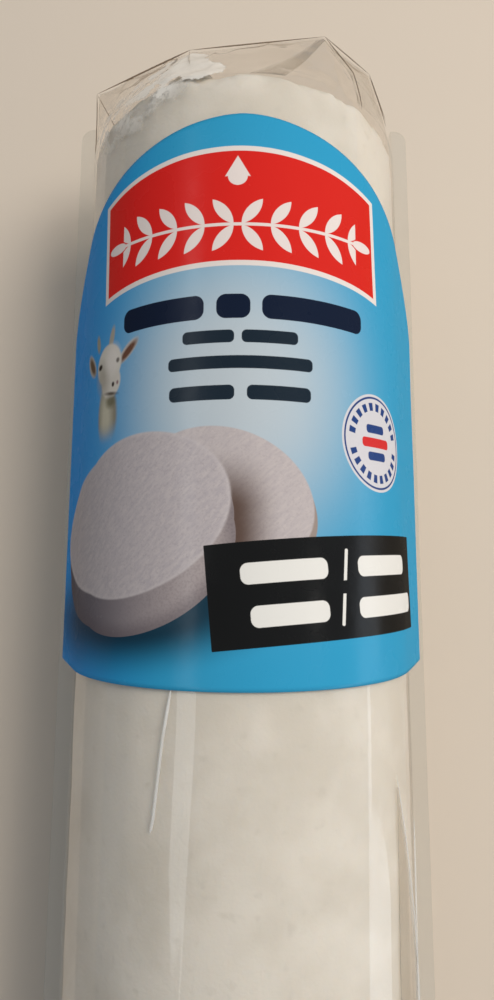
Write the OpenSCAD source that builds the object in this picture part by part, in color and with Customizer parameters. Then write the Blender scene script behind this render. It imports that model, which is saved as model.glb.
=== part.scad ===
// Log of fresh goat cheese in a clear film wrap, lying in an open-ended clear tray
// and banded by an arch-topped label whose sides come down on the tray's flanges.
// X runs across the log, Y along it and Z up. The origin is the middle of the underside.

/* [Cheese] */
// Diameter of the cheese
cheese_d = 70; // [56:1:84]
// Length of the cheese
cheese_l = 250; // [200:1:300]
// Width of the flat that the soft cheese settles on
flat_w = 16; // [10:1:24]

/* [Film] */
// Slack between the cheese and the outside of its film
film_slack = 0.5; // [0.2:0.1:1]
// How far the folded film ends stand past the cheese
tail_l = 17.5; // [12:0.5:24]
// Depth that the folded end faces are tucked in
tuck_depth = 5; // [2:0.5:8]

/* [Tray] */
// Thickness of the tray's clear sheet
tray_t = 0.5; // [0.3:0.1:1]
// Gap between the film and the tray's side walls
side_gap = 0.3; // [0.2:0.1:2]
// Height of the flanges above the middle of the cheese
rim_rise = 0; // [0:0.5:8]
// Width of the flange that turns outwards along each side
flange_w = 3.1; // [1.5:0.1:6]
// Radius of the flange's corners
flange_corner = 3; // [1:0.5:6]
// How far the tray runs past the cheese at each end
tray_over = 12.4; // [4:0.2:15]

/* [Label] */
// Distance from a flange's outer edge to the edge of the label on it
label_edge_in = 1; // [0.3:0.1:2]
// Length of the label down its middle
label_l = 110; // [88:1:132]
// Thickness of the label
label_t = 0.25; // [0.2:0.05:0.5]
// Distance from the end of the cheese to the top of the label
label_inset = 9; // [4:0.5:14]
// Height of the arch that tops the label
arch_h = 34; // [20:1:40]
// Roundness of the arch, where 2 is an ellipse
arch_power = 1.6; // [1.5:0.05:2.5]
// How much lower the label's bottom edge is at its middle than at its corners
bottom_sag = 5; // [1:0.5:8]

/* [Hidden] */

// Clearances: label to film, and label to flange
label_gap = 0.1;
rim_gap = 0.2;

// The log's axis stands on the flat of the cheese and on the tray's floor
film_r = cheese_d / 2 + film_slack;
flat_drop = sqrt(film_r * film_r - flat_w * flat_w / 4);
axis_z = flat_drop + tray_t;

// Inside and outside of the tray, its flanges and its length
tray_r_in = film_r + side_gap;
tray_r_out = tray_r_in + tray_t;
flange_half = tray_r_out + flange_w;
tray_l = cheese_l + 2 * tray_over;

// The label hugs the log up to leave_angle from the top, then runs straight along
// the tangent to its place on the flange
label_r = film_r + label_gap;
seat_x = flange_half - label_edge_in;
seat_z = rim_rise + rim_gap;
label_reach = norm([seat_x, seat_z]);
leave_angle = asin(label_r / label_reach) - atan2(seat_z, seat_x);
hug_half = label_r * leave_angle * PI / 180;
label_half = hug_half + sqrt(label_reach * label_reach - label_r * label_r);
label_top_y = cheese_l / 2 - label_inset;
label_bottom_y = label_top_y - label_l;

// Corners of the folded ends: the angle from the right-hand side, and the radius
// as a share of the film's radius
far_corners = [[-5, 1], [25, 0.89], [55, 0.85], [120, 0.67], [170, 1],
               [205, 0.96], [245, 0.93], [295, 0.94], [335, 0.97]];
near_corners = [[5, 1], [40, 0.86], [85, 0.76], [130, 0.88], [185, 1],
                [215, 0.95], [250, 0.93], [295, 0.94], [330, 0.96]];
// The ring inside a tucked face: its share of the fold's size and of the tuck's depth
tuck_ring = 0.55;
tuck_share = 0.45;

fine = 160;

// Angles of the points of each ring round the wrap: across the flat underneath,
// and then evenly round the rest
flat_steps = 4;
round_steps = 68;
flat_turn = asin(flat_w / 2 / film_r);
ring_angles = concat(
    [for (k = [0:flat_steps - 1]) -90 - flat_turn + k * 2 * flat_turn / flat_steps],
    [for (k = [0:round_steps - 1]) -90 + flat_turn + k * (360 - 2 * flat_turn) / round_steps]);

// Radius of the film round the cheese at an angle: a circle with a flat underneath
function section_r(angle) =
    sin(angle) < -flat_drop / film_r ? -flat_drop / sin(angle) : film_r;

// Radius, at an angle, of the straight edge between corners a and b
function edge_r(a, b, angle) =
    a[1] * b[1] * sin(b[0] - a[0])
    / (a[1] * sin(angle - a[0]) + b[1] * sin(b[0] - angle));

// Radius, at an angle, of the closed polygon of corners
function fold_r(corners, angle) =
    let (start = corners[0][0],
         closed = concat(corners, [[start + 360, corners[0][1]]]),
         turned = start + (angle - start + 360) % 360,
         i = [for (k = [0:len(closed) - 2])
                  if (turned >= closed[k][0] && turned < closed[k + 1][0]) k][0])
    film_r * edge_r(closed[i], closed[i + 1], turned);

// Points of a ring at y: round the cheese, or round a fold at a share of its size
function cheese_ring(y) =
    [for (a = ring_angles) section_r(a) * [cos(a), 0, sin(a)] + [0, y, 0]];
function fold_ring(corners, share, y) =
    [for (a = ring_angles) share * fold_r(corners, a) * [cos(a), 0, sin(a)] + [0, y, 0]];

// The sealed wrap with the cheese in it, as one closed solid: six rings from the
// middle of the near end's tucked face to the middle of the far end's
module wrapped_cheese() {
    edge_y = cheese_l / 2;
    fold_y = edge_y + tail_l;
    inner_y = fold_y - tuck_depth * tuck_share;
    middle_y = fold_y - tuck_depth;
    points = concat(
        [[0, -middle_y, 0]],
        fold_ring(near_corners, tuck_ring, -inner_y),
        fold_ring(near_corners, 1, -fold_y),
        cheese_ring(-edge_y),
        cheese_ring(edge_y),
        fold_ring(far_corners, 1, fold_y),
        fold_ring(far_corners, tuck_ring, inner_y),
        [[0, middle_y, 0]]);
    count = len(ring_angles);
    last = len(points) - 1;
    near_cap = [for (k = [0:count - 1]) [0, 1 + (k + 1) % count, 1 + k]];
    bands = [for (ring = [0:4], k = [0:count - 1])
        let (a = 1 + ring * count + k, b = 1 + ring * count + (k + 1) % count)
        each [[a, b, a + count], [b, b + count, a + count]]];
    far_cap = [for (k = [0:count - 1])
        [last - count + k, last - count + (k + 1) % count, last]];
    color([0.93, 0.92, 0.88])
    translate([0, 0, axis_z])
        polyhedron(points = points, faces = concat(near_cap, bands, far_cap));
}

// Section of the tray's inside or outside: a circle that is cut off flat at drop below
// its middle and goes straight up to top above it
module bowl_section(r, drop, top) {
    intersection() {
        union() {
            circle(r = r, $fn = fine);
            translate([-r, 0]) square([2 * r, r]);
        }
        translate([-r, -drop]) square([2 * r, drop + top]);
    }
}

// Section of the tray: a thin bowl with a flange along each side
module tray_section() {
    difference() {
        bowl_section(tray_r_out, flat_drop + tray_t, rim_rise);
        bowl_section(tray_r_in, flat_drop, rim_rise + 1);
    }
    for (side = [-1, 1])
        translate([side * (tray_r_in + flange_half) / 2, rim_rise - tray_t / 2])
            square([flange_half - tray_r_in, tray_t], center = true);
}

// Outline of the tray from above, with rounded corners
module tray_plan() {
    straight_x = flange_half - flange_corner;
    straight_y = tray_l / 2 - flange_corner;
    square([2 * straight_x, tray_l], center = true);
    square([2 * flange_half, 2 * straight_y], center = true);
    for (x = [-1, 1], y = [-1, 1])
        translate([x * straight_x, y * straight_y])
            circle(r = flange_corner, $fn = fine);
}

module tray() {
    color([0.85, 0.88, 0.86, 0.4])
    intersection() {
        translate([0, tray_l / 2, axis_z])
            rotate([90, 0, 0]) linear_extrude(tray_l) tray_section();
        linear_extrude(axis_z + rim_rise + 1) tray_plan();
    }
}

// A point of the label's section, at s across the flat label and off above its back
function label_point(s, off) =
    let (turn = min(abs(s), hug_half) / label_r * 180 / PI,
         run = max(abs(s) - hug_half, 0))
    [sign(s) * ((label_r + off) * sin(turn) + run * cos(turn)),
     (label_r + off) * cos(turn) - run * sin(turn)];

// Places across the flat label, closer together where the arch falls steeply
arch_step = 3;
label_columns = [for (a = [0:arch_step:180])
    sign(cos(a)) * label_half * pow(abs(cos(a)), 2 / arch_power)];

// Top edge of the flat label: a superellipse. Bottom edge: a shallow sag.
function label_top(s) =
    label_top_y - arch_h * (1 - pow(1 - pow(abs(s / label_half), arch_power), 1 / arch_power));
function label_bottom(s) = label_bottom_y + bottom_sag * pow(s / label_half, 2);

// The label: four corners in each column, joined to the next column's
module label() {
    count = len(label_columns);
    points = [for (s = label_columns,
                   corner = [[0, 0], [1, 0], [1, 1], [0, 1]])
        let (p = label_point(s, corner[0] * label_t))
        [p[0], corner[1] == 0 ? label_bottom(s) : label_top(s), p[1]]];
    walls = [for (k = [0:count - 2], side = [0:3])
        let (a = 4 * k + side, b = 4 * k + (side + 1) % 4)
        each [[a, b, a + 4], [b, b + 4, a + 4]]];
    ends = [[3, 2, 1, 0], [for (k = [4:-1:1]) 4 * count - k]];
    color([0.13, 0.56, 0.82])
    translate([0, 0, axis_z])
        polyhedron(points = points, faces = concat(walls, ends));
}

wrapped_cheese();
tray();
label();
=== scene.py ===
"""Looks of a log of fresh goat cheese: the cheese itself, its folded clear film, the clear
tray it lies in and the printed label over it.

Everything is in metres. X runs across the log, Y along it and Z up, and the tray stands on
z = 0. Places round the log are an angle from its top, positive to the right, and places on
the label are in millimetres across and along the flat label.
"""
import math

import bpy
import numpy as np
from mathutils import Matrix, Vector


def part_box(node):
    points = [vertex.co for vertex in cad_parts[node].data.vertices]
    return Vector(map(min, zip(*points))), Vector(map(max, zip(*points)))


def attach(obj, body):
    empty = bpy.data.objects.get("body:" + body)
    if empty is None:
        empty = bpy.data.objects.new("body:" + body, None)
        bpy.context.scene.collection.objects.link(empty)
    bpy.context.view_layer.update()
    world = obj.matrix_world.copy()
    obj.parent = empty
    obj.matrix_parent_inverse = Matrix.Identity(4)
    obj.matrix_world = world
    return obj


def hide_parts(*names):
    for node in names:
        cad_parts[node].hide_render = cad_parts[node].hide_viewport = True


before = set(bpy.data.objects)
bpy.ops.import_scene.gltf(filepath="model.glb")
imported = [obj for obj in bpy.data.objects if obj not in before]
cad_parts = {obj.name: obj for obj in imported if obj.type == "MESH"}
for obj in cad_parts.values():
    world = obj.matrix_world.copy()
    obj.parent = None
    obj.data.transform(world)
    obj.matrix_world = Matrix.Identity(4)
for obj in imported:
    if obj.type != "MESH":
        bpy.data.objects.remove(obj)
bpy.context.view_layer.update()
MM = 0.001

# ---- Sizes taken from the frame -------------------------------------------------------

wrap_low, wrap_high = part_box("wrapped_cheese")
label_low, label_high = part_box("label")

FILM_R = (wrap_high.x - wrap_low.x) / 2
AXIS_Z = wrap_high.z - FILM_R
FLAT_Z = wrap_low.z - AXIS_Z
FILM_END = wrap_high.y
LABEL_R = label_high.z - AXIS_Z
LABEL_TOP = label_high.y
LABEL_BOTTOM = label_low.y

# Where the label leaves the log, and how far it runs straight on from there
label_edge = (label_high.x, label_low.z - AXIS_Z)
LABEL_RUN = math.sqrt(label_edge[0] ** 2 + label_edge[1] ** 2 - LABEL_R ** 2)
LABEL_LEAVE = math.atan2(*label_edge) - math.atan2(LABEL_RUN, LABEL_R)
LABEL_HALF = LABEL_R * LABEL_LEAVE + LABEL_RUN

# ---- Sizes of the looks ----------------------------------------------------------------

# The cheese: how far it lies inside the film, where it ends, the rounding of its rims and
# how far its faces stand past its ends
FILM_SLACK = 0.45 * MM
CHEESE_R = FILM_R - FILM_SLACK
FOLD_LENGTH = 17.5 * MM
CHEESE_END = FILM_END - FOLD_LENGTH
RIM_ROUND = 2.6 * MM
RIM_PAST = 1.6 * MM

# Lumps of broken cheese at the far rim: degrees from the top, distance from the axis and
# place along Y, then half sizes across, along and up, in millimetres
CRUMBS = [
    (-40, 22.0, 130.5, 4.8, 6.0, 4.6), (-31, 23.5, 129.5, 5.2, 6.4, 4.8),
    (-20, 27.0, 126.0, 5.0, 5.0, 4.6), (-50, 25.0, 127.5, 4.2, 4.8, 3.6),
    (-62, 27.5, 127.5, 4.6, 3.6, 3.6), (-76, 28.0, 127.0, 3.0, 3.0, 3.2),
]

# The folded ends: corners as (degrees from the top, share of the film's radius)
FAR_CORNERS = [(-115, 0.96), (-80, 1.0), (-30, 0.67), (35, 0.85), (65, 0.89), (95, 1.0),
               (115, 0.97), (155, 0.94), (205, 0.93)]
NEAR_CORNERS = [(-125, 0.95), (-95, 1.0), (-40, 0.88), (5, 0.76), (50, 0.86), (85, 1.0),
                (120, 0.96), (155, 0.94), (200, 0.93)]
TUCK_DEPTH = 5 * MM
TAIL_POWER = 1.15

# The film lies over the cheese in flat facets. Their edges, in degrees from the top, drift
# along the log: each is (at the middle of the log, at the end of the drift)
DRIFT_RUN = 140 * MM
FACET_EDGES = [
    (-180, -180), (-150, -150), (-125, -125), (-105, -105), (-92, -94), (-80, -77),
    (-68, -70), (-56.5, -54), (-44, -47), (-31, -38), (-18.3, -28.3), (-12.3, -24), (2, -8),
    (15, 6), (28, 20), (41, 34), (52.4, 42), (64, 56), (76, 70), (88, 85), (100, 100),
    (125, 125), (150, 150), (180, 180),
]
# Facets further than this many degrees from the top stay round
FACET_REACH = 110
FACET_COLUMNS = 14

# The label: arch at its top, dip along its bottom edge, and its sheet
ARCH_DROP = 34 * MM
ARCH_POWER = 1.6
BOTTOM_SAG = 5 * MM
LABEL_SHEET = 0.16 * MM
LABEL_RIPPLE = 0.05 * MM

# Sheet that the doubled film and the sheets of painted shade are made of, and points along a
# side of a patch of it
DOUBLED_SHEET = 0.08 * MM
PATCH_STEPS = 30


# ---- Meshes ------------------------------------------------------------------------------

def value_noise(places, size, seed):
    """Smooth noise from -1 to 1: random numbers on a cubic lattice of the given size, blended
    between lattice points with the weight t * t * (3 - 2 * t)."""
    lattice = np.random.default_rng(seed).uniform(-1, 1, (64, 64, 64))
    at = np.asarray(places) / size + 1000
    cell = np.floor(at).astype(int)
    t = at - cell
    t = t * t * (3 - 2 * t)
    total = 0
    for corner in np.ndindex(2, 2, 2):
        weight = np.prod(np.where(corner, t, 1 - t), axis=-1)
        index = tuple(np.moveaxis((cell + corner) % 64, -1, 0))
        total = total + weight * lattice[index]
    return total


def smooth(low, high, value):
    """0 below low, 1 above high, and t * t * (3 - 2 * t) between."""
    t = np.clip((value - low) / (high - low), 0, 1)
    return t * t * (3 - 2 * t)


def add_mesh(name, points, faces, flat=None):
    """A mesh object at the origin; flat gives each point's place on the flat sheet, 0 to 1."""
    mesh = bpy.data.meshes.new(name)
    mesh.from_pydata(points.tolist(), [], faces)
    mesh.polygons.foreach_set("use_smooth", np.ones(len(mesh.polygons), bool))
    if flat is not None:
        corners = np.empty(len(mesh.loops), int)
        mesh.loops.foreach_get("vertex_index", corners)
        layer = mesh.uv_layers.new(name="flat")
        layer.data.foreach_set("uv", flat[corners].ravel())
    piece = bpy.data.objects.new(name, mesh)
    bpy.context.scene.collection.objects.link(piece)
    return piece


def strip_faces(rows, columns, wrap):
    """The quads of a grid of rows by columns, joined round to the first column if wrap."""
    across = np.arange(columns if wrap else columns - 1)
    row = np.arange(rows - 1)[:, None] * columns
    here = row + across
    right = row + (across + 1) % columns
    return np.stack([here, right, right + columns, here + columns], -1).reshape(-1, 4)


def closed_tube(rings, near_pole, far_pole):
    """Points and faces of rings carried along, closed by a fan to a pole at each end. Rings
    run clockwise seen from the far end, so that the faces point outwards."""
    rows, columns = rings.shape[:2]
    points = np.vstack([rings.reshape(-1, 3), near_pole, far_pole])
    quads = strip_faces(rows, columns, True)[:, ::-1]
    k = np.arange(columns)
    after = (k + 1) % columns
    near = np.stack([np.full(columns, len(points) - 2), k, after], -1)
    top = (rows - 1) * columns
    far = np.stack([np.full(columns, len(points) - 1), top + after, top + k], -1)
    return points, quads.tolist() + near.tolist() + far.tolist()


def add_joined(name, parts):
    """One mesh object from several (points, faces)."""
    points, faces, count = [], [], 0
    for part_points, part_faces in parts:
        points.append(part_points)
        faces += [[k + count for k in face] for face in part_faces]
        count += len(part_points)
    return add_mesh(name, np.vstack(points), faces)


def settled(angle, radius, drop):
    """Radius at an angle from the top of a circle that is cut off flat at drop below."""
    down = -np.cos(angle)
    return np.where(down * radius > drop, drop / np.maximum(down, 0.1), radius)


def place_round(angle, radius, along):
    """Points at an angle from the log's top, a radius from its axis and a place along Y."""
    return np.stack(np.broadcast_arrays(radius * np.sin(angle), along,
                                        AXIS_Z + radius * np.cos(angle)), -1)


def ring_angles(count):
    """Angles evenly round the log, starting underneath. They run against the clock, seen
    from the near end, so that carried along +Y their faces point outwards."""
    return math.pi - np.arange(count) * 2 * math.pi / count


def make_cheese():
    """The cheese: a section carried along a path of (radius, place along Y). The path goes
    out across the near face, round its rim, along the log, and back over the far end."""
    face_y = CHEESE_END + RIM_PAST
    turn = np.linspace(0, math.pi / 2, 9)
    flat_r = CHEESE_R - RIM_ROUND
    face = np.linspace(0.04, 1, 18) * flat_r
    rim_r = flat_r + RIM_ROUND * np.sin(turn[1:])
    rim_y = face_y - RIM_ROUND + RIM_ROUND * np.cos(turn[1:])
    side_y = np.linspace(-face_y + RIM_ROUND, face_y - RIM_ROUND, 170)[1:-1]
    radius = np.concatenate([face, rim_r, np.full(len(side_y), CHEESE_R),
                             rim_r[::-1], face[::-1]])
    along = np.concatenate([np.full(len(face), -face_y), -rim_y, side_y,
                            rim_y[::-1], np.full(len(face), face_y)])
    angle = ring_angles(260)[None]
    share = (radius / CHEESE_R)[:, None]
    section = settled(angle, CHEESE_R, -FLAT_Z - FILM_SLACK) * share
    points = place_round(angle, section, along[:, None])
    lumps = (0.16 * value_noise(points, 14 * MM, 1) + 0.07 * value_noise(points, 5 * MM, 2)) * MM
    near_end = smooth(CHEESE_END - 7 * MM, CHEESE_END, np.abs(along))[:, None]
    rough = (0.55 * value_noise(points, 7 * MM, 3) + 0.3 * value_noise(points, 2.6 * MM, 4)
             + 0.16 * value_noise(points, 1.2 * MM, 5)) * MM
    inward = np.minimum(lumps - 0.2 * MM, 0) + near_end * np.minimum(rough - 0.2 * MM, 0.1 * MM)
    centre = np.stack([0 * section, 0 * section + along[:, None], 0 * section + AXIS_Z], -1)
    away = points - centre
    length = np.linalg.norm(away, axis=-1, keepdims=True)
    points = points + away / length * inward[..., None]
    points[..., 1] += near_end * np.sign(along)[:, None] * np.minimum(rough - 0.3 * MM, 0)
    poles = [[0, -face_y + 0.4 * MM, AXIS_Z], [0, face_y - 0.4 * MM, AXIS_Z]]
    return add_joined("cheese", [closed_tube(points, poles[:1], poles[1:])])


def polygon_radius(corners, angle):
    """Radius at an angle of the closed polygon through (degrees, share) corners: on the side
    from a to b it is a * b * sin(B - A) / (a * sin(t - A) + b * sin(B - t))."""
    degrees, shares = np.array(corners, float).T
    order = np.append(np.radians(degrees), math.radians(degrees[0] + 360))
    size = np.append(shares, shares[0])
    t = (angle - order[0]) % (2 * math.pi) + order[0]
    side = np.clip(np.searchsorted(order, t, side="right") - 1, 0, len(shares) - 1)
    a, b = size[side], size[side + 1]
    start, end = order[side], order[side + 1]
    return a * b * np.sin(end - start) / (a * np.sin(t - start) + b * np.sin(end - t))


def film_radius(angle, along):
    """Radius of the smooth film: the settled circle over the cheese, which past the cheese
    goes over to the polygon of the folded end, share ** TAIL_POWER of the way."""
    body = settled(angle, FILM_R, -FLAT_Z)
    share = np.clip((np.abs(along) - CHEESE_END) / (FILM_END - CHEESE_END), 0, 1)
    far = polygon_radius(FAR_CORNERS, angle)
    near = polygon_radius(NEAR_CORNERS, angle)
    fold = np.minimum(FILM_R * np.where(along > 0, far, near), body)
    return body + (fold - body) * share ** TAIL_POWER


def facet_angles(along):
    """For each place along Y, the angles of the film's columns and how far each lies inside
    the round film. A facet from low to high is a chord: it lies
    R * (1 - cos((high - low) / 2) / cos(angle - middle)) inside."""
    start, end = np.radians(FACET_EDGES).T
    drift = np.clip(-along / DRIFT_RUN, 0, 1)[:, None]
    edges = start + (end - start) * drift
    place = np.arange(0, len(start) - 1, 1 / FACET_COLUMNS)
    facet = place.astype(int)
    share = place - facet
    low, high = edges[:, facet], edges[:, facet + 1]
    angle = low + (high - low) * share
    middle = (low + high) / 2
    depth = FILM_R * (1 - np.cos((high - low) / 2) / np.cos(angle - middle))
    depth = np.where(np.abs(middle) < math.radians(FACET_REACH), depth, 0)
    return angle[:, ::-1], depth[:, ::-1]


def make_film():
    """The clear film: a section carried along Y, faceted over the cheese and crumpled past
    it, with both end faces tucked in towards the middle."""
    tail = np.linspace(CHEESE_END, FILM_END, 26)[1:]
    body = np.concatenate([np.linspace(-CHEESE_END, 8 * MM, 125),
                           np.linspace(8 * MM, CHEESE_END, 34)[1:]])
    inner = np.linspace(1, 0.06, 16)[1:]
    tucked = FILM_END - TUCK_DEPTH * (1 - inner ** 1.5)
    along = np.concatenate([-tucked[::-1], -tail[::-1], body, tail, tucked])
    shrink = np.concatenate([inner[::-1], np.ones(2 * len(tail) + len(body)), inner])
    angle, depth = facet_angles(along)
    along = along[:, None] + 0 * angle
    outline = np.where(shrink[:, None] < 1, np.sign(along) * FILM_END, along)
    points = place_round(angle, film_radius(angle, outline), along)
    past = smooth(CHEESE_END - 2 * MM, CHEESE_END + 4 * MM, np.abs(along))
    crumple = (np.abs(value_noise(points, 11 * MM, 11))
               + 0.4 * np.abs(value_noise(points, 4.5 * MM, 12)))
    lines = np.abs(value_noise(points * [1, 0.12, 1], 5 * MM, 13))
    inward = past * crumple * 0.9 * MM + (1 - past) * (depth + lines * 0.05 * MM)
    radius = (film_radius(angle, outline) - inward) * shrink[:, None]
    points = place_round(angle, radius, along)
    middle = FILM_END - TUCK_DEPTH
    poles = [[0, -middle, AXIS_Z], [0, middle, AXIS_Z]]
    return add_joined("film", [closed_tube(points, poles[:1], poles[1:])])


# Thin folds in the film. Each is its corners as (degrees from the top, millimetres along Y),
# then half its width and half its height in millimetres
FAR_END_LINES = [
    ([(-115, 142.5), (-80, 142.5)], 0.14, 0.14),
    ([(-80, 142.5), (-30, 142.5)], 0.22, 0.19),
    ([(-30, 142.5), (35, 142.5)], 0.15, 0.15),
    ([(35, 142.5), (65, 142.5)], 0.12, 0.12),
    ([(65, 142.5), (95, 142.5)], 0.11, 0.11),
    ([(-80, 142.4), (-82, 134), (-85, 122)], 0.12, 0.12),
    ([(35, 142.4), (48, 136.5), (44, 124.5)], 0.11, 0.11),
    ([(65, 142.4), (74, 132)], 0.10, 0.10),
    ([(-30, 142.4), (-22, 133)], 0.10, 0.10),
]
NEAR_END_LINES = [
    ([(-125, -142.5), (-95, -142.5)], 0.14, 0.14),
    ([(-95, -142.5), (-40, -142.5)], 0.16, 0.16),
    ([(-40, -142.5), (5, -142.5)], 0.15, 0.15),
    ([(5, -142.5), (50, -142.5)], 0.15, 0.15),
    ([(50, -142.5), (85, -142.5)], 0.14, 0.14),
    ([(-40, -142.4), (-30, -134), (-36, -124)], 0.12, 0.12),
    ([(50, -142.4), (58, -132)], 0.10, 0.10),
]
# The pleats are real creases; their pale milky finish paints the highlight that runs along each.
PLEATS = [
    ([(-20.0, 6.5), (-22.4, -2.2), (-24.8, -15.4), (-25.6, -17.5)], 0.32, 0.20),
    ([(55.0, -9.7), (69.7, -38.1), (77.0, -52.9), (79.5, -66)], 0.16, 0.16),
    ([(78.0, -20.0), (74.5, -36), (71.5, -54)], 0.22, 0.16),
    ([(-84.0, 2.0), (-83.0, -30), (-84.0, -70), (-83.0, -115)], 0.16, 0.14),
    ([(12.0, -78.0), (16.0, -96), (14.0, -116)], 0.20, 0.14),
]
# Where the film lies double, and sheets that paint shade on it: how far inside it in
# millimetres, and the patch's corners
FLAPS_AND_SHADE_SHEETS = [
    (0.55, [(34, 142.2), (36, 142.2), (13, 126.4), (4, 126.0)]),
    (0.85, [(33, 142.2), (36, 142.2), (14, 126.6), (2, 126.2)]),
    (0.55, [(35, 142.2), (65, 142.2), (72, 133), (47, 136)]),
    (0.55, [(47, 136), (72, 133), (84, 126.5), (44.5, 126.5)]),
    # The last two are painted shade: sheets that darken the film left of the crease on the log's
    # right.
    (0.16, [(56, -12), (57, -12), (78, -60), (54, -60)]),
    (0.16, [(54, -60), (78, -60), (80, -118), (51, -118)]),
]


def make_folds(name, lines):
    """Thin folds: tubes along lines on the film, tapering at both ends."""
    parts = []
    for corners, half_wide, half_high in lines:
        place = np.linspace(0, len(corners) - 1, 14 * len(corners))
        degrees, along = (np.interp(place, np.arange(len(corners)), each)
                          for each in np.transpose(corners))
        angle, along = np.radians(degrees), along * MM
        middle = place_round(angle, film_radius(angle, along), along)
        outward = np.stack([np.sin(angle), 0 * angle, np.cos(angle)], -1)
        run = np.gradient(middle, axis=0)
        side = np.cross(run, outward)
        side /= np.linalg.norm(side, axis=-1, keepdims=True)
        end = np.minimum(place, place[-1] - place)
        taper = np.sqrt(np.clip(end * 3, 0.02, 1))[:, None, None]
        turn = (np.arange(8) * math.pi / 4)[:, None]
        rings = middle[:, None] + taper * MM * (side[:, None] * np.cos(turn) * half_wide
                                                + outward[:, None] * np.sin(turn) * half_high)
        parts.append(closed_tube(rings, middle[:1], middle[-1:]))
    return add_joined(name, parts)


def make_flaps_and_shade_sheets():
    """Patches just inside the film: at the far end where it lies double, and along the log
    sheets of painted shade. Each is blended from its four corners across and along."""
    parts = []
    steps = np.linspace(0, 1, PATCH_STEPS)
    across, down = np.meshgrid(steps, steps)
    for depth, corners in FLAPS_AND_SHADE_SHEETS:
        first, second, third, fourth = np.array(corners)[:, :, None, None]
        top = first + (second - first) * across
        foot = fourth + (third - fourth) * across
        degrees, along = top + (foot - top) * down
        angle, along = np.radians(degrees), along * MM
        points = place_round(angle, film_radius(angle, along) - depth * MM, along)
        faces = strip_faces(PATCH_STEPS, PATCH_STEPS, False)[:, ::-1]
        parts.append((points.reshape(-1, 3), faces.tolist()))
    piece = add_joined("film_flaps_and_shade_sheets", parts)
    sheet = piece.modifiers.new("sheet", "SOLIDIFY")
    sheet.thickness = DOUBLED_SHEET
    return piece


def label_place(across, off):
    """X and Z of a place on the label: round the log as far as the angle at which it leaves,
    and then straight on along the tangent. off is the height above its outer face."""
    radius = LABEL_R + off
    hug = LABEL_R * LABEL_LEAVE
    turn = np.minimum(np.abs(across), hug) / LABEL_R
    run = np.maximum(np.abs(across) - hug, 0)
    x = np.sign(across) * (radius * np.sin(turn) + run * np.cos(turn))
    return x, AXIS_Z + radius * np.cos(turn) - run * np.sin(turn)


def make_label():
    """The label: columns across the flat sheet, closer where the arch is steep, and rows
    from its dipping bottom edge to its arch, a superellipse."""
    turn = np.linspace(math.pi, 0, 181)
    share = np.sign(np.cos(turn)) * np.abs(np.cos(turn)) ** (2 / ARCH_POWER)
    across = share * LABEL_HALF
    arch = 1 - (1 - np.abs(share) ** ARCH_POWER) ** (1 / ARCH_POWER)
    top = LABEL_TOP - ARCH_DROP * arch
    bottom = LABEL_BOTTOM + BOTTOM_SAG * share ** 2
    rows = np.linspace(0, 1, 121)[:, None]
    along = bottom + (top - bottom) * rows
    across = across + 0 * along
    flat = np.stack([across, along], -1)
    spots = np.concatenate([flat, 0 * flat[..., :1]], -1)
    lift = LABEL_RIPPLE * value_noise(spots * [1, 0.35, 1], 6 * MM, 21)
    x, z = label_place(across, lift - LABEL_RIPPLE)
    points = np.stack([x, along, z], -1)
    uv = np.stack([0.5 + across / (2 * LABEL_HALF),
                   (along - LABEL_BOTTOM) / (2 * LABEL_HALF)], -1)
    piece = add_mesh("printed_label", points.reshape(-1, 3),
                     strip_faces(*across.shape, False).tolist(), uv.reshape(-1, 2))
    sheet = piece.modifiers.new("sheet", "SOLIDIFY")
    sheet.thickness = LABEL_SHEET
    sheet.offset = -1
    return piece


def make_crumbs():
    """Lumps of broken cheese at the far rim: each a ball of latitude by longitude, pushed
    in and out by noise."""
    lat = np.linspace(0, math.pi, 34)[1:-1, None]
    lon = np.arange(48) * -2 * math.pi / 48
    ball = np.stack(np.broadcast_arrays(np.sin(lat) * np.cos(lon), -np.cos(lat),
                                        np.sin(lat) * -np.sin(lon)), -1)
    parts = []
    for degrees, reach, along, *half in CRUMBS:
        angle = math.radians(degrees)
        half = np.array(half) * MM
        centre = place_round(angle, reach * MM, along * MM)
        spots = ball * half + centre
        size = (1 + 0.24 * value_noise(spots, 4.2 * MM, 31)
                + 0.09 * value_noise(spots, 1.6 * MM, 32))
        rings = ball * size[..., None] * half + centre
        poles = rings[0].mean(0, keepdims=True), rings[-1].mean(0, keepdims=True)
        parts.append(closed_tube(rings, *poles))
    return add_joined("crumbs", parts)


# ---- Finishes ----------------------------------------------------------------------------

class Wire:
    """A value or colour in a finish. Arithmetic on it adds Math nodes."""

    def __init__(self, finish, socket):
        self.finish = finish
        self.socket = socket

    def math(self, operation, *values):
        return self.finish.node("ShaderNodeMath", {"operation": operation}, *values)

    def __add__(self, other):
        return self.math("ADD", self, other)

    def __sub__(self, other):
        return self.math("SUBTRACT", self, other)

    def __rsub__(self, other):
        return self.math("SUBTRACT", other, self)

    def __mul__(self, other):
        return self.math("MULTIPLY", self, other)

    def __truediv__(self, other):
        return self.math("DIVIDE", self, other)

    def __pow__(self, other):
        return self.math("POWER", self, other)

    def __abs__(self):
        return self.math("ABSOLUTE", self)

    def sqrt(self):
        return self.math("SQRT", self)

    def least(self, other):
        return self.math("MINIMUM", self, other)

    def most(self, other):
        return self.math("MAXIMUM", self, other)

    def wrap(self, period):
        """The value less the nearest whole number of periods, from minus to plus half one."""
        return self.math("WRAP", self, period / 2, -period / 2)

    __radd__ = __add__
    __rmul__ = __mul__


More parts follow.
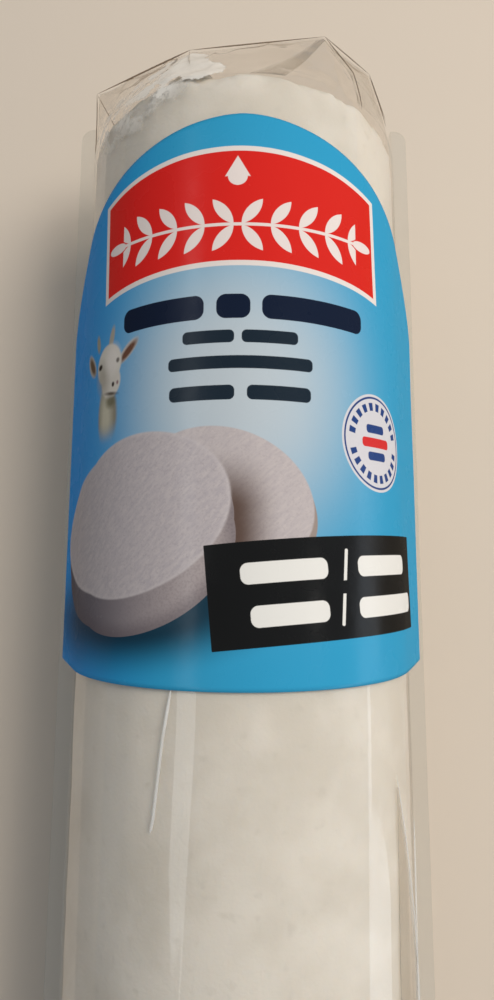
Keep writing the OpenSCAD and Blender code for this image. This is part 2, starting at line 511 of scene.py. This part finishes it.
class Finish:
    """A material being put together from nodes."""

    def __init__(self, name):
        self.material = bpy.data.materials.new(name)
        self.material.use_nodes = True
        self.nodes = self.material.node_tree.nodes
        self.links = self.material.node_tree.links
        self.nodes.clear()

    def node(self, kind, settings, *values, out=0, **named):
        """Adds a node, sets its settings, then its sockets: values in order, then by name."""
        made = self.nodes.new(kind)
        for key, value in settings.items():
            setattr(made, key, value)
        sockets = list(zip(made.inputs, values))
        sockets += [(made.inputs[key.replace("_", " ")], value) for key, value in named.items()]
        for socket, value in sockets:
            if isinstance(value, Wire):
                self.links.new(value.socket, socket)
            elif value is not None:
                socket.default_value = value
        return Wire(self, made.outputs[out])

    def mix(self, factor, first, second):
        """A colour that goes from first to second as factor goes from 0 to 1."""
        made = self.nodes.new("ShaderNodeMix")
        made.data_type = "RGBA"
        for index, value in ((0, factor), (6, first), (7, second)):
            if isinstance(value, Wire):
                self.links.new(value.socket, made.inputs[index])
            else:
                made.inputs[index].default_value = value if index == 0 else (*value, 1)
        return Wire(self, made.outputs[2])

    def ramp(self, value, low, high):
        """0 at low and 1 at high, smoothed."""
        return self.node("ShaderNodeMapRange", {"interpolation_type": "SMOOTHSTEP"},
                         value, low, high, 0.0, 1.0)

    def place(self):
        """Object coordinates in millimetres, as a vector."""
        spot = self.node("ShaderNodeTexCoord", {}, out=3)
        return self.node("ShaderNodeVectorMath", {"operation": "SCALE"}, spot, Scale=1000.0)

    def split(self, vector):
        """The three parts of a vector."""
        made = self.node("ShaderNodeSeparateXYZ", {}, vector)
        return [Wire(self, each) for each in made.socket.node.outputs]

    def noise(self, vector, size, detail=2.0, rough=0.5):
        """Noise round 0.5, size millimetres across."""
        return self.node("ShaderNodeTexNoise", {}, Vector=vector, Scale=1.0 / size,
                         Detail=detail, Roughness=rough)

    def bump(self, height, depth, strength=1.0):
        """A normal from a height of 0 to 1, depth millimetres high."""
        return self.node("ShaderNodeBump", {}, Height=height, Distance=depth * MM,
                         Strength=strength)

    def finish(self, shader):
        """Puts the shader on the surface and returns the material."""
        output = self.nodes.new("ShaderNodeOutputMaterial")
        self.links.new(shader.socket, output.inputs["Surface"])
        return self.material


def srgb(red, green, blue):
    """A linear colour from its 0 to 255 display values."""
    return tuple(c / 12.92 if c <= 0.04045 else ((c + 0.055) / 1.055) ** 2.4
                 for c in (red / 255, green / 255, blue / 255))


def cheese_finish():
    """Fresh goat cheese: moist white curd, faintly mottled, with small pits."""
    f = Finish("fresh_cheese")
    spot = f.place()
    cloudy = f.noise(spot, 16, 3)
    fine = f.noise(spot, 2.2, 4)
    white = f.mix(f.ramp(cloudy, 0.35, 0.65), srgb(220, 215, 204), srgb(232, 228, 219))
    white = f.mix(f.ramp(fine, 0.58, 0.75) * 0.35, white, srgb(206, 201, 190))
    height = fine * 0.6 + f.noise(spot, 0.7, 2) * 0.4
    shader = f.node("ShaderNodeBsdfPrincipled", {}, Base_Color=white, Roughness=0.5,
                    Normal=f.bump(height, 0.25, 0.5), Subsurface_Weight=0.25,
                    Subsurface_Radius=(1.0, 0.8, 0.6), Subsurface_Scale=0.004)
    return f.finish(shader)


def near_spot(f, spot, centre, size):
    """1 at a centre, fading to 0 at a distance of size millimetres."""
    away = f.node("ShaderNodeVectorMath", {"operation": "DISTANCE"}, spot, centre, out=1)
    return f.ramp(away, size, size * 0.35)


# Where curd smears the film: a place in millimetres and how far it spreads
SMEARS = [((-24, 128, 60), 16), ((-31, 128, 50), 14), ((-15, 128, 64), 10)]
# Where a lump of it is pressed against the film
CURD = [((-12, 138.5, 58.6), 6.5), ((-17.5, 137.5, 56.4), 6), ((-12, 133.5, 62.4), 8),
        ((-8.5, 129, 67), 7.5), ((-15, 130, 64), 5.5)]


def clear_finish(name, tint, haze, haze_amount, rough, smeared=False):
    """Clear plastic sheet: light passes with a slight tint, a thin haze catches some of it,
    and the surface reflects more the more it slants. A smeared one has milky curd on its
    inside near the broken rim."""
    f = Finish(name)
    spot = f.place()
    cloudy = f.noise(spot, 14, 3)
    amount = cloudy * (2 * haze_amount)
    if smeared:
        patchy = f.ramp(f.noise(spot, 4.5, 4, 0.6), 0.42, 0.62)
        for centre, size in SMEARS:
            amount = amount + near_spot(f, spot, centre, size) * patchy * 0.75
        pressed = near_spot(f, spot, *CURD[0])
        for centre, size in CURD[1:]:
            pressed = pressed.most(near_spot(f, spot, centre, size))
        ragged = f.noise(spot, 5.0, 4, 0.65) - 0.5
        amount = amount + f.ramp(pressed + ragged * 1.6, 0.45, 0.62) * 0.9
    through = f.node("ShaderNodeBsdfTransparent", {}, (*tint, 1))
    milk = f.node("ShaderNodeBsdfDiffuse", {}, (*haze, 1))
    gloss = f.node("ShaderNodeBsdfGlossy", {}, (1, 1, 1, 1), rough)
    body = f.node("ShaderNodeMixShader", {}, amount.least(1.0), through, milk)
    slant = f.node("ShaderNodeLayerWeight", {}, 0.5, out=1)
    mirrored = slant ** 5.0 * 0.96 + 0.04
    return f.finish(f.node("ShaderNodeMixShader", {}, mirrored, body, gloss))


def floor_finish():
    """A plain pale floor, faintly uneven."""
    f = Finish("pale_floor")
    cloudy = f.noise(f.place(), 120, 3)
    pale = f.mix(cloudy, srgb(214, 201, 185), srgb(219, 206, 190))
    return f.finish(f.node("ShaderNodeBsdfPrincipled", {}, Base_Color=pale, Roughness=0.7,
                           Specular_IOR_Level=0.2))


# ---- The label's print -------------------------------------------------------------------

def turned(x, y, centre, degrees):
    """Coordinates about a centre, in axes turned by some degrees."""
    x, y = x - centre[0], y - centre[1]
    c, s = math.cos(math.radians(degrees)), math.sin(math.radians(degrees))
    return x * c + y * s, y * c - x * s


def oval(x, y, centre, half, degrees=0):
    """Distance outside an ellipse, about: (length of (x / a, y / b) - 1) * the smaller half."""
    x, y = turned(x, y, centre, degrees)
    x, y = x / half[0], y / half[1]
    return ((x * x + y * y).sqrt() - 1.0) * min(half)


def plate(x, y, centre, half, corner, degrees=0):
    """Distance outside a rectangle with rounded corners."""
    x, y = turned(x, y, centre, degrees)
    x = (abs(x) - (half[0] - corner)).most(0.0)
    y = (abs(y) - (half[1] - corner)).most(0.0)
    return (x * x + y * y).sqrt() - corner


def ink(distance, edge=0.12):
    """1 inside a shape and 0 outside, over an edge of some millimetres."""
    return distance.finish.node("ShaderNodeMapRange", {}, distance, edge / 2, -edge / 2,
                                0.0, 1.0)


# Words are bars: each row is its height along the label, half its bar's height, and the
# bars' (start, end) across it
TITLE_ROWS = [(76.1, 2.4, [(-25.5, -7.4), (-5.0, 1.4), (3.6, 25.3)])]
TEXT_ROWS = [(70.2, 1.25, [(-11.5, -1.6), (-0.2, 10.5)]),
             (65.2, 1.25, [(-14.3, 13.4)]),
             (59.4, 1.4, [(-14.0, -1.5), (0.8, 13.0)])]
BANNER_CENTRE = (20.4, 24.5)
BANNER_HALF = (26.5, 9.3)
BANNER_TILT = 5.4
BANNER_ROWS = [(3.6, 1.9, [(-20.4, -4.0), (3.0, 20.5)]),
               (-4.0, 1.9, [(-19.2, -4.4), (2.6, 24.8)])]
BADGE_BLUE_ROWS = [(2.7, 0.85, [(-2.9, 2.9)]), (-2.7, 0.85, [(-2.9, 2.9)])]
BADGE_RED_ROWS = [(0.0, 0.95, [(-4.4, 4.4)])]
BADGE_CENTRE = (29.4, 52.8)
BADGE_SIZE = 9.7
BADGE_TILT = 4


def bars(x, y, rows):
    """Rows of bars with round ends: the least distance outside any of them."""
    found = None
    for height, half, spans in rows:
        for start, end in spans:
            centre = ((start + end) / 2, height)
            bar = plate(x, y, centre, ((end - start) / 2, half), half * 0.75)
            found = bar if found is None else found.least(bar)
    return found


# Flat shapes of the goat's head and neck, from the back to the front: centre, half sizes,
# degrees turned, softness of the edge, share of ink and colour (0 to 255)
GOAT = [
    ((-30.2, 58.0), (3.3, 6.6), 2, 0.9, 1.0, (138, 132, 116)),
    ((-30.6, 57.6), (1.9, 6.0), 3, 2.0, 0.9, (196, 190, 168)),
    ((-34.5, 74.2), (0.75, 1.9), 12, 0.4, 1.0, (150, 146, 130)),
    ((-29.3, 74.0), (0.8, 2.5), -14, 0.4, 1.0, (164, 158, 146)),
    ((-37.6, 70.4), (1.5, 3.2), 38, 0.5, 1.0, (176, 168, 156)),
    ((-37.4, 70.3), (0.9, 2.5), 38, 0.6, 1.0, (96, 72, 50)),
    ((-24.2, 70.2), (1.2, 3.2), -52, 0.5, 1.0, (186, 176, 166)),
    ((-24.1, 70.1), (0.8, 2.7), -52, 0.5, 1.0, (104, 70, 54)),
    ((-30.2, 68.7), (4.2, 4.3), 0, 0.5, 1.0, (206, 200, 188)),
    ((-29.3, 64.9), (3.2, 3.3), 8, 0.5, 1.0, (206, 199, 188)),
    ((-32.3, 66.2), (1.9, 3.2), 14, 2.2, 0.65, (150, 142, 126)),
    ((-28.8, 69.6), (2.2, 2.8), 0, 2.0, 0.7, (224, 216, 208)),
    ((-33.3, 68.9), (0.75, 0.6), 10, 0.4, 1.0, (40, 32, 26)),
    ((-27.1, 69.0), (0.5, 0.5), 0, 0.4, 0.8, (60, 50, 44)),
    ((-28.4, 64.3), (0.42, 0.5), 0, 0.3, 1.0, (50, 38, 36)),
    ((-27.0, 64.4), (0.34, 0.4), 0, 0.3, 0.8, (120, 76, 84)),
    ((-29.0, 62.5), (1.9, 0.34), -10, 0.4, 0.9, (70, 58, 50)),
    ((-29.1, 60.9), (1.5, 1.2), -8, 1.2, 0.75, (92, 88, 62)),
]


def label_finish():
    """The printed label: a blue field with a pale middle, a red plaque with a leafy sprig,
    bars for words, two slices of cheese, a goat, a round badge and a black banner."""
    f = Finish("label_print")
    flat = f.node("ShaderNodeUVMap", {"uv_map": "flat"})
    u, v, _ = f.split(flat)
    x = (u - 0.5) * (2 * LABEL_HALF / MM)
    y = v * (2 * LABEL_HALF / MM) + LABEL_BOTTOM / MM
    spot = f.place()

    # A glow fades from the field's middle: exp(-away ** 1.5), with away the sum of
    # (x / a) ** 2 and (y / b) ** 2
    away = ((x + 1.0) / 23.5) ** 2.0 + ((y - 61.0) / 29.0) ** 2.0
    glow = f.node("ShaderNodeMath", {"operation": "EXPONENT"}, away ** 1.5 * -1.0)
    field = f.mix(f.ramp(x, -50.0, -8.0), srgb(30, 142, 218), srgb(44, 151, 193))
    colour = f.mix(glow, field, srgb(184, 194, 200))

    colour = slices(f, x, y, spot, colour)
    colour = plaque(f, x, y, colour)
    colour = f.mix(ink(bars(x, y, TITLE_ROWS)), colour, srgb(6, 20, 44))
    colour = f.mix(ink(bars(x, y, TEXT_ROWS)), colour, srgb(20, 34, 46))
    colour = goat(f, x, y, colour)
    colour = badge(f, x, y, colour)
    colour = banner(f, x, y, colour)

    # Ink with a gloss over it that reflects more the more it slants
    rub = f.ramp(f.noise(spot, 9.0, 3), 0.35, 0.65)
    ripple = f.bump(f.noise(spot, 3.0, 2), 0.10, 0.3)
    print_shader = f.node("ShaderNodeBsdfPrincipled", {}, Base_Color=colour, Roughness=0.6,
                          Specular_IOR_Level=0.0)
    gloss = f.node("ShaderNodeBsdfGlossy", {}, (1, 1, 1, 1), rub * 0.1 + 0.2, Normal=ripple)
    slant = f.node("ShaderNodeLayerWeight", {}, 0.5, out=1)
    mirrored = slant ** 5.0 * 0.08 + 0.02
    return f.finish(f.node("ShaderNodeMixShader", {}, mirrored, print_shader, gloss))


def slices(f, x, y, spot, colour):
    """Two slices of cheese: the ground's shadow, the back slice, and the front slice's side
    and face. The print is drawn wider where the label bends down at its left."""
    x = x.most(-34.0) + (x + 34.0).least(0.0) * 0.5
    ground = f.ramp(oval(x, y, (-20.0, 21.0), (25.0, 9.5), 5), 4.5, -4.0)
    colour = f.mix(ground * 0.93, colour, srgb(6, 30, 44))
    streak_x, streak_y = turned(x, y, (0, 0), 42)
    streaks = f.node("ShaderNodeCombineXYZ", {}, streak_x * 0.3, streak_y, 0.0)
    grain = f.noise(streaks, 0.7, 3, 0.65)
    fine = f.noise(spot, 0.45, 2)
    curd = f.mix(f.ramp(grain, 0.25, 0.75), srgb(174, 166, 169), srgb(190, 181, 180))
    curd = f.mix(f.ramp(fine, 0.5, 0.72) * 0.45, curd, srgb(160, 151, 154))
    # The side darkens towards the left partly as the printed picture's own shading and partly as
    # painted shade.
    side = f.mix(f.ramp(x, -42.0, 0.0), srgb(86, 82, 92), srgb(174, 162, 160))
    side = f.mix(f.ramp(fine, 0.4, 0.7) * 0.3, side, srgb(120, 111, 114))

    colour = f.mix(ink(oval(x, y, (-2.9, 38.0), (17.3, 12.8), -17)), colour,
                   srgb(150, 136, 128))
    back = oval(x, y, (-3.5, 39.9), (17.3, 12.8), -17)
    colour = f.mix(ink(back, 0.25), colour, f.mix(0.2, curd, srgb(196, 184, 176)))
    front = oval(x, y, (-22.7, 37.6), (21.0, 15.0), 14)
    body = oval(x, y, (-21.6, 30.9), (20.8, 15.2), 14)
    body = body.least(oval(x, y, (-22.1, 34.2), (21.0, 15.1), 14))
    touch = f.ramp(body.least(front), 6.5, 0.2) * f.ramp(y, 50.0, 38.0)
    colour = f.mix(touch * ink(back) * 0.95, colour, srgb(82, 60, 48))
    colour = f.mix(ink(body), colour, side)
    foot = f.ramp(body, -3.4, 0.0)
    colour = f.mix(foot * ink(body) * 0.55, colour, srgb(84, 74, 80))
    colour = f.mix(ink(front, 0.3), colour, curd)
    return f.mix(ink(abs(front + 0.2) - 0.2, 0.6) * 0.35, colour, srgb(204, 195, 193))


def plaque(f, x, y, colour):
    """A red plaque with straight sides, a domed top and an arched foot. It carries a sprig
    and a drop."""
    across = (x + 1.1) / 31.6
    bow = 1.0 - across * across
    top = y - (bow * 5.4 + 103.6)
    foot = (bow * 2.6 + 81.6) - y
    sides = abs(x + 1.1 + (y - 93.0) * 0.035) - 31.4
    edge = top.most(foot).most(sides)
    colour = f.mix(ink(edge), colour, srgb(224, 214, 208))
    red = f.mix(f.ramp(x, -30.0, 30.0), srgb(214, 29, 23), srgb(208, 35, 23))
    colour = f.mix(ink(edge + 1.05), colour, red)
    pale = srgb(226, 214, 208)
    colour = f.mix(ink(sprig(x, y, (-1.1, 92.6))), colour, pale)
    drop = oval(x, y, (-1.1, 102.6), (1.9, 1.9))
    peak = (abs(x + 1.1) * 1.75 + (y - 106.9)).most(102.6 - y) * 0.5
    return f.mix(ink(drop.least(peak)), colour, pale)


def sprig(x, y, centre):
    """A plain sprig: a stem and pairs of leaves that lean away from its middle, repeated
    every pitch. A leaf is where two discs overlap."""
    pitch, reach = 5.6, 26.5
    x, y = x - centre[0], y - centre[1]
    out, up = abs(x), abs(y)
    along = (out - pitch / 2).wrap(pitch)
    lx, ly = turned(along, up, (0.0, 2.7), 52)
    leaf_half, leaf_wide = 3.3, 1.15
    disc = (leaf_half ** 2 + leaf_wide ** 2) / (2 * leaf_wide)
    side = abs(ly) + (disc - leaf_wide)
    leaf = (lx * lx + side * side).sqrt() - disc
    leaf = leaf.most(out - (reach - 1.2))
    stem = plate(x, y, (0, 0), (reach, 0.32), 0.3)
    tip = oval(out, y, (reach + 0.6, 0.0), (2.6, 1.1))
    return leaf.least(stem).least(tip)


def goat(f, x, y, colour):
    """The goat's head and neck, which fades out at its foot."""
    fade = f.ramp(y, 52.0, 57.5)
    for centre, half, degrees, edge, share, shade in GOAT:
        shape = ink(oval(x, y, centre, half, degrees), edge) * share * fade
        colour = f.mix(shape, colour, srgb(*shade))
    return colour


def banner(f, x, y, colour):
    """The black banner, with pale bars for words and two short slashes between them."""
    bx, by = turned(x, y, BANNER_CENTRE, BANNER_TILT)
    colour = f.mix(ink(plate(bx, by, (0, 0), BANNER_HALF, 0.2)), colour, srgb(11, 10, 8))
    slash = plate(bx, by, (-0.6, 0.0), (0.35, 7.0), 0.3, -9).most(1.2 - abs(by))
    marks = bars(bx, by, BANNER_ROWS)
    return f.mix(ink(marks.least(slash)), colour, srgb(226, 224, 218))


def badge(f, x, y, colour):
    """A round badge: pale disc, thin blue ring, a ring of dashes and three lying bars."""
    navy = srgb(34, 62, 120)
    bx, by = turned(x, y, BADGE_CENTRE, BADGE_TILT)
    reach = (bx * bx + by * by).sqrt()
    colour = f.mix(ink(reach - BADGE_SIZE), colour, srgb(206, 204, 208))
    colour = f.mix(ink(abs(reach - (BADGE_SIZE - 0.7)) - 0.2), colour, navy)
    turn = f.node("ShaderNodeMath", {"operation": "ARCTAN2"}, by, bx)
    dash_count, dash_reach = 22, 7.2
    dash = abs(turn.wrap(2 * math.pi / dash_count)) - 0.08
    dashes = (dash * dash_reach).most(abs(reach - dash_reach) - 0.8).most(1.1 - abs(by))
    colour = f.mix(ink(dashes), colour, navy)
    colour = f.mix(ink(bars(bx, by, BADGE_BLUE_ROWS)), colour, navy)
    return f.mix(ink(bars(bx, by, BADGE_RED_ROWS)), colour, srgb(204, 44, 44))


# ---- Pieces --------------------------------------------------------------------------------

def dress(piece, material):
    """Gives a piece its one material."""
    piece.data.materials.clear()
    piece.data.materials.append(material)


cheese = make_cheese()
crumbs = make_crumbs()
film = make_film()
film_folds = make_folds("film_folds", FAR_END_LINES + NEAR_END_LINES)
film_pleats = make_folds("film_pleats", PLEATS)
film_flaps_and_shade_sheets = make_flaps_and_shade_sheets()
printed_label = make_label()
curd_finish = cheese_finish()
dress(cheese, curd_finish)
dress(crumbs, curd_finish)
dress(film, clear_finish("clear_film", (0.935, 0.915, 0.89), (0.80, 0.76, 0.69), 0.04, 0.06,
                         smeared=True))
# The folded edges' deep brown-grey tint is partly the film's own tint, seen through many layers,
# and partly painted shade for the darkening along a fold seen edge on.
dress(film_folds, clear_finish("folded_film_edge", (0.56, 0.49, 0.42), (0.45, 0.40, 0.35),
                               0.15, 0.1))
# The pleats' pale haze is a painted highlight along each crease.
dress(film_pleats, clear_finish("film_pleat", (0.95, 0.95, 0.95), (0.92, 0.92, 0.90), 0.35,
                                0.08))
# Along the log these patches are painted shade beside the right crease.
dress(film_flaps_and_shade_sheets, clear_finish("doubled_film_and_shade_sheets", (0.93, 0.915, 0.89), (0.6, 0.56, 0.5), 0.05,
                               0.1))
dress(printed_label, label_finish())
dress(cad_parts["tray"],
      clear_finish("clear_sheet", (0.955, 0.955, 0.94), (0.75, 0.76, 0.73), 0.03, 0.05))

for piece in (cheese, crumbs, film, film_folds, film_pleats, film_flaps_and_shade_sheets, printed_label):
    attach(piece, "root")
for piece in (cheese, crumbs, film, film_folds, film_pleats, film_flaps_and_shade_sheets):
    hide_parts("wrapped_cheese")
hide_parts("label")


# ---- Stage, lights and camera ------------------------------------------------------------

def add_light(name, place, aim, size, energy, colour, mirrored=True, lighting=True):
    """A rectangular soft light at place, aimed at a point. One that isn't mirrored doesn't
    show in the gloss, and one that isn't lighting shows only there."""
    lamp = bpy.data.lights.new(name, "AREA")
    lamp.shape = "RECTANGLE"
    lamp.size, lamp.size_y = size
    lamp.energy = energy
    lamp.color = colour
    light = bpy.data.objects.new(name, lamp)
    bpy.context.scene.collection.objects.link(light)
    away = Vector(place) - Vector(aim)
    turn = away.to_track_quat("Z", "Y").to_matrix().to_4x4()
    light.matrix_world = Matrix.Translation(place) @ turn
    light.visible_glossy = mirrored
    light.visible_diffuse = lighting
    light.visible_camera = False


FLOOR_HALF = 2.0
floor_corners = np.array([(-1, -1, 0), (1, -1, 0), (1, 1, 0), (-1, 1, 0)]) * FLOOR_HALF
floor = add_mesh("floor", floor_corners, [(0, 1, 2, 3)])
dress(floor, floor_finish())

# The sky is dimmer towards the log's left than towards its right
SKY_LEFT, SKY_RIGHT = 0.25, 0.63
world = bpy.data.worlds.new("studio")
world.use_nodes = True
sky = world.node_tree.nodes["Background"]
sky.inputs["Color"].default_value = (0.84, 0.91, 1.0, 1)
facing = world.node_tree.nodes.new("ShaderNodeTexCoord")
parts = world.node_tree.nodes.new("ShaderNodeSeparateXYZ")
level = world.node_tree.nodes.new("ShaderNodeMapRange")
for socket, value in zip(level.inputs[1:5], (-1.0, 1.0, SKY_LEFT, SKY_RIGHT)):
    socket.default_value = value
world.node_tree.links.new(facing.outputs["Generated"], parts.inputs[0])
world.node_tree.links.new(parts.outputs[0], level.inputs[0])
world.node_tree.links.new(level.outputs[0], sky.inputs["Strength"])
bpy.context.scene.world = world
bpy.context.scene.view_settings.view_transform = "Standard"

MIDDLE = (0, 0.03, 0.04)
add_light("key", (0.38, 0.22, 0.68), MIDDLE, (0.34, 0.34), 4.15, (1.0, 0.92, 0.82), False)
add_light("glint", (0.62, 0.05, 0.62), MIDDLE, (0.03, 0.03), 0.05, (1.0, 0.96, 0.9))
add_light("left_strip", (-0.34, -0.15, 0.54), (0, -0.15, 0.05), (1.3, 0.10), 0.75,
          (0.95, 0.98, 1.0), lighting=False)
add_light("right_strip", (0.34, -0.24, 0.05), (0, -0.24, 0.05), (0.7, 0.12), 0.6,
          (0.82, 0.90, 1.0), lighting=False)

# The camera hangs close over the log's far half and leans towards its far end
CAMERA_Y = 14.6 * MM
CAMERA_HEIGHT = 174.06 * MM
CAMERA_LEAN = math.radians(10.16)
CAMERA_ROLL = math.radians(0.30)
lens = bpy.data.cameras.new("camera")
lens.lens = 28.44
lens.sensor_width = 36
lens.shift_x = 0.0051
lens.clip_start = 0.01
camera = bpy.data.objects.new("camera", lens)
bpy.context.scene.collection.objects.link(camera)
camera.matrix_world = (Matrix.Translation((0, CAMERA_Y, AXIS_Z + CAMERA_HEIGHT))
                       @ Matrix.Rotation(CAMERA_LEAN, 4, "X")
                       @ Matrix.Rotation(CAMERA_ROLL, 4, "Z"))
bpy.context.scene.camera = camera
